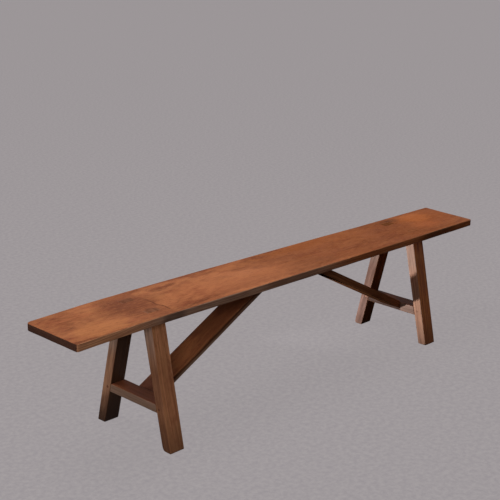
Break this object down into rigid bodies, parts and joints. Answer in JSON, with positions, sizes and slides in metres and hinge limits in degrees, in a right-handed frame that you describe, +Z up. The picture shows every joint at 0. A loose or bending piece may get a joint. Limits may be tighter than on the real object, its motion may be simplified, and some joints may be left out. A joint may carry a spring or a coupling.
{
  "type": "kitchen bench",
  "caption": "Long wooden kitchen bench: a plank seat on two splayed trestles, each with a cross stretcher and a diagonal brace up to the seat.",
  "frame": {"origin": "on the floor, at the middle of the footprint's bounding box", "axes": "+X along the seat towards the right end, +Y from the front edge to the back, +Z up"},
  "size_m": [2.0716, 0.367, 0.45],
  "materials": {
    "seat_wood": "old waxed orange-brown wood, worn smooth",
    "leg_wood": "old waxed red-brown wood, rubbed arrises",
    "stretcher_wood": "old red-brown wood, dry and a little grey on the outer face",
    "brace_wood": "dark red-brown sawn board",
    "wedge_wood": "dark end grain, flush with the seat",
    "peg_wood": "dark end grain, flush",
    "nail_iron": "dull dark iron"
  },
  "bodies": {
    "root": {"seat_plank": "seat_wood", "leg_front_left": "leg_wood", "leg_front_right": "leg_wood", "leg_back_left": "leg_wood", "leg_back_right": "leg_wood", "stretcher_left": "stretcher_wood", "stretcher_right": "stretcher_wood", "brace_left": "brace_wood", "brace_right": "brace_wood", "wedge_front_left_outer": "wedge_wood", "wedge_front_left_inner": "wedge_wood", "wedge_front_right_outer": "wedge_wood", "wedge_front_right_inner": "wedge_wood", "wedge_back_left_outer": "wedge_wood", "wedge_back_left_inner": "wedge_wood", "wedge_back_right_outer": "wedge_wood", "wedge_back_right_inner": "wedge_wood", "stretcher_peg_front_left": "peg_wood", "stretcher_peg_front_right": "peg_wood", "stretcher_peg_back_left": "peg_wood", "stretcher_peg_back_right": "peg_wood", "brace_peg_left": "peg_wood", "brace_peg_right": "peg_wood", "nail_left_front": "nail_iron", "nail_left_back": "nail_iron", "nail_right_front": "nail_iron", "nail_right_back": "nail_iron"}
  },
  "joints": []
}
